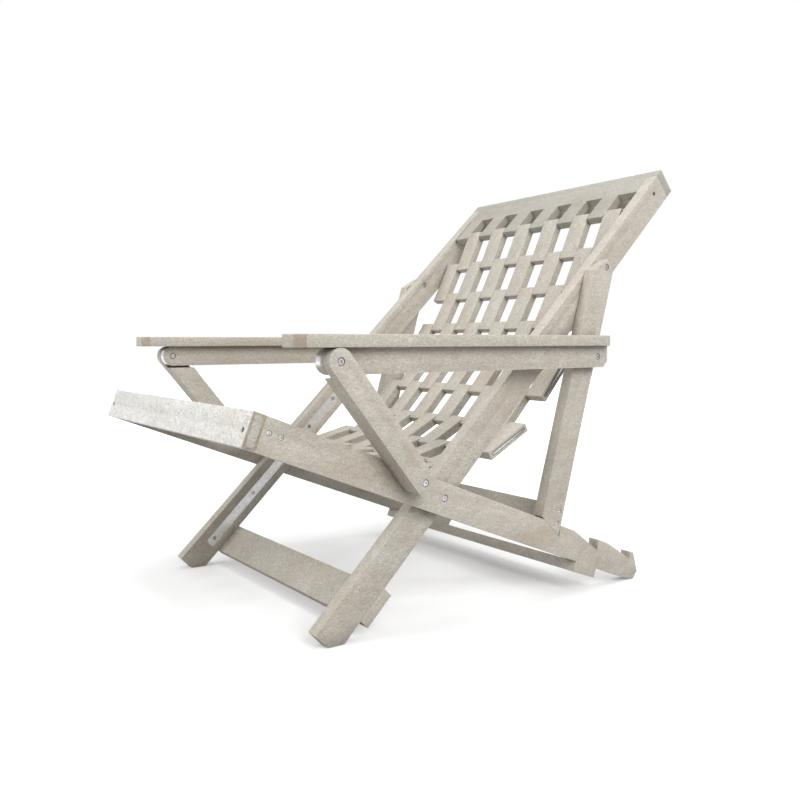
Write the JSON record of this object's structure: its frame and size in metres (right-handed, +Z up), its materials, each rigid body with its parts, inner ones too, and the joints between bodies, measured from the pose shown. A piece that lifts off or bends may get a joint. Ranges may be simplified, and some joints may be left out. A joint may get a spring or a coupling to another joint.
{
  "type": "folding lounge chair",
  "caption": "Folding lounge chair of square-edged planks with crossing legs, flat arms on links, a recline prop and a sling of hinged links.",
  "frame": {"origin": "on the ground under the middle of the chair's bounding box", "axes": "+Z up, the seat faces -Y, the width runs along X, +X is the sitter's left side"},
  "size_m": [0.771, 1.1074, 0.941],
  "materials": {
    "frame_lumber": "matt mottled grey-beige recycled plastic lumber",
    "sling_lumber": "matt mottled grey-beige recycled plastic lumber",
    "steel": "satin stainless steel"
  },
  "bodies": {
    "base_frame": {"base_rail_left": "frame_lumber", "base_rail_right": "frame_lumber", "front_board": "frame_lumber", "front_slat": "frame_lumber", "front_comb": "sling_lumber", "rear_slat": "frame_lumber", "base_screws": "steel", "base_bolts": "steel"},
    "back_frame": {"leg_left": "frame_lumber", "leg_right": "frame_lumber", "foot_board": "frame_lumber", "head_cap": "frame_lumber", "head_slat": "frame_lumber", "head_comb": "sling_lumber", "leg_flat_bars": "steel", "back_screws": "steel", "head_rod": "steel"},
    "link_left": {"link_inner_left": "frame_lumber", "link_outer_left": "frame_lumber", "link_bolt_left": "steel"},
    "link_right": {"link_inner_right": "frame_lumber", "link_outer_right": "frame_lumber", "link_bolt_right": "steel"},
    "arm_left": {"arm_board_left": "frame_lumber", "arm_rail_left": "frame_lumber", "arm_band_left": "steel"},
    "arm_right": {"arm_board_right": "frame_lumber", "arm_rail_right": "frame_lumber", "arm_band_right": "steel"},
    "prop_frame": {"prop_post_left": "frame_lumber", "prop_post_right": "frame_lumber", "prop_cross_board": "frame_lumber", "prop_screws": "steel", "prop_pivot_screws": "steel", "arm_rear_bolts": "steel"},
    "sling_01": {"sling_row_01": "sling_lumber", "sling_rod_01": "steel"},
    "sling_02": {"sling_row_02": "sling_lumber", "sling_rod_02": "steel"},
    "sling_03": {"sling_row_03": "sling_lumber", "sling_rod_03": "steel"},
    "sling_04": {"sling_row_04": "sling_lumber", "sling_rod_04": "steel"},
    "sling_05": {"sling_row_05": "sling_lumber", "sling_rod_05": "steel"},
    "sling_06": {"sling_row_06": "sling_lumber", "sling_rod_06": "steel"},
    "sling_07": {"sling_row_07": "sling_lumber", "sling_rod_07": "steel"},
    "sling_08": {"sling_row_08": "sling_lumber", "sling_rod_08": "steel"},
    "sling_09": {"sling_row_09": "sling_lumber", "sling_rod_09": "steel"},
    "sling_10": {"sling_row_10": "sling_lumber", "sling_rod_10": "steel"},
    "sling_11": {"sling_row_11": "sling_lumber", "sling_rod_11": "steel"},
    "sling_12": {"sling_row_12": "sling_lumber", "sling_rod_12": "steel"}
  },
  "joints": [
    {"name": "back_fold", "type": "hinge", "parent": "base_frame", "child": "back_frame", "pos_m": [0, -0.14562, 0.24023], "axis": [1, 0, 0], "range_deg": [-65.4, 0]},
    {"name": "link_pivot_left", "type": "hinge", "parent": "base_frame", "child": "link_left", "pos_m": [0, -0.22788, 0.28181], "axis": [1, 0, 0], "range_deg": [-150.3, 0]},
    {"name": "arm_pivot_left", "type": "hinge", "parent": "link_left", "child": "arm_left", "pos_m": [0, -0.40387, 0.49078], "axis": [1, 0, 0], "range_deg": [0, 128.72]},
    {"name": "link_pivot_right", "type": "hinge", "parent": "base_frame", "child": "link_right", "pos_m": [0, -0.22788, 0.28181], "axis": [1, 0, 0], "range_deg": [-150.3, 0]},
    {"name": "arm_pivot_right", "type": "hinge", "parent": "link_right", "child": "arm_right", "pos_m": [0, -0.40387, 0.49078], "axis": [1, 0, 0], "range_deg": [0, 128.72]},
    {"name": "prop_pivot", "type": "hinge", "parent": "arm_left", "child": "prop_frame", "pos_m": [0, 0.24615, 0.50646], "axis": [1, 0, 0], "range_deg": [0, 106.13]},
    {"name": "sling_hinge_01", "type": "hinge", "parent": "back_frame", "child": "sling_01", "pos_m": [0, 0.416, 0.83261], "axis": [1, 0, 0], "range_deg": [-8.95, 0]},
    {"name": "sling_hinge_02", "type": "hinge", "parent": "sling_01", "child": "sling_02", "pos_m": [0, 0.3775, 0.74531], "axis": [1, 0, 0], "range_deg": [-11.24, 0]},
    {"name": "sling_hinge_03", "type": "hinge", "parent": "sling_02", "child": "sling_03", "pos_m": [0, 0.33598, 0.65942], "axis": [1, 0, 0], "range_deg": [0, 4.6]},
    {"name": "sling_hinge_04", "type": "hinge", "parent": "sling_03", "child": "sling_04", "pos_m": [0, 0.29104, 0.57526], "axis": [1, 0, 0], "range_deg": [0, 6.2]},
    {"name": "sling_hinge_05", "type": "hinge", "parent": "sling_04", "child": "sling_05", "pos_m": [0, 0.24077, 0.49418], "axis": [1, 0, 0], "range_deg": [0, 11.23]},
    {"name": "sling_hinge_06", "type": "hinge", "parent": "sling_05", "child": "sling_06", "pos_m": [0, 0.17881, 0.42163], "axis": [1, 0, 0], "range_deg": [0, 4.6]},
    {"name": "sling_hinge_12", "type": "hinge", "parent": "base_frame", "child": "sling_12", "pos_m": [0, -0.43039, 0.36614], "axis": [1, 0, 0], "range_deg": [-9.96, 0]},
    {"name": "sling_hinge_11", "type": "hinge", "parent": "sling_12", "child": "sling_11", "pos_m": [0, -0.34126, 0.3321], "axis": [1, 0, 0], "range_deg": [-5.7, 0]},
    {"name": "sling_hinge_10", "type": "hinge", "parent": "sling_11", "child": "sling_10", "pos_m": [0, -0.25032, 0.30326], "axis": [1, 0, 0], "range_deg": [-7.9, 0]},
    {"name": "sling_hinge_09", "type": "hinge", "parent": "sling_10", "child": "sling_09", "pos_m": [0, -0.15704, 0.28326], "axis": [1, 0, 0], "range_deg": [-9.79, 0]},
    {"name": "sling_hinge_08", "type": "hinge", "parent": "sling_09", "child": "sling_08", "pos_m": [0, -0.06165, 0.28143], "axis": [1, 0, 0], "range_deg": [0, 9.5]},
    {"name": "sling_hinge_07", "type": "hinge", "parent": "sling_08", "child": "sling_07", "pos_m": [0, 0.03067, 0.30548], "axis": [1, 0, 0], "range_deg": [-13.82, 0]}
  ],
  "couplings": [
    {"joint": "link_pivot_left", "follows": "back_fold", "ratio": 2.2981},
    {"joint": "arm_pivot_left", "follows": "back_fold", "ratio": -1.9682},
    {"joint": "link_pivot_right", "follows": "back_fold", "ratio": 2.2981},
    {"joint": "arm_pivot_right", "follows": "back_fold", "ratio": -1.9682},
    {"joint": "prop_pivot", "follows": "back_fold", "ratio": -1.6228},
    {"joint": "sling_hinge_01", "follows": "back_fold", "ratio": 0.13686},
    {"joint": "sling_hinge_02", "follows": "back_fold", "ratio": 0.17186},
    {"joint": "sling_hinge_03", "follows": "back_fold", "ratio": -0.070335},
    {"joint": "sling_hinge_04", "follows": "back_fold", "ratio": -0.0948},
    {"joint": "sling_hinge_05", "follows": "back_fold", "ratio": -0.17171},
    {"joint": "sling_hinge_06", "follows": "back_fold", "ratio": -0.070335},
    {"joint": "sling_hinge_12", "follows": "back_fold", "ratio": 0.1523},
    {"joint": "sling_hinge_11", "follows": "back_fold", "ratio": 0.087155},
    {"joint": "sling_hinge_10", "follows": "back_fold", "ratio": 0.12079},
    {"joint": "sling_hinge_09", "follows": "back_fold", "ratio": 0.14969},
    {"joint": "sling_hinge_08", "follows": "back_fold", "ratio": -0.14525},
    {"joint": "sling_hinge_07", "follows": "back_fold", "ratio": 0.21132}
  ]
}
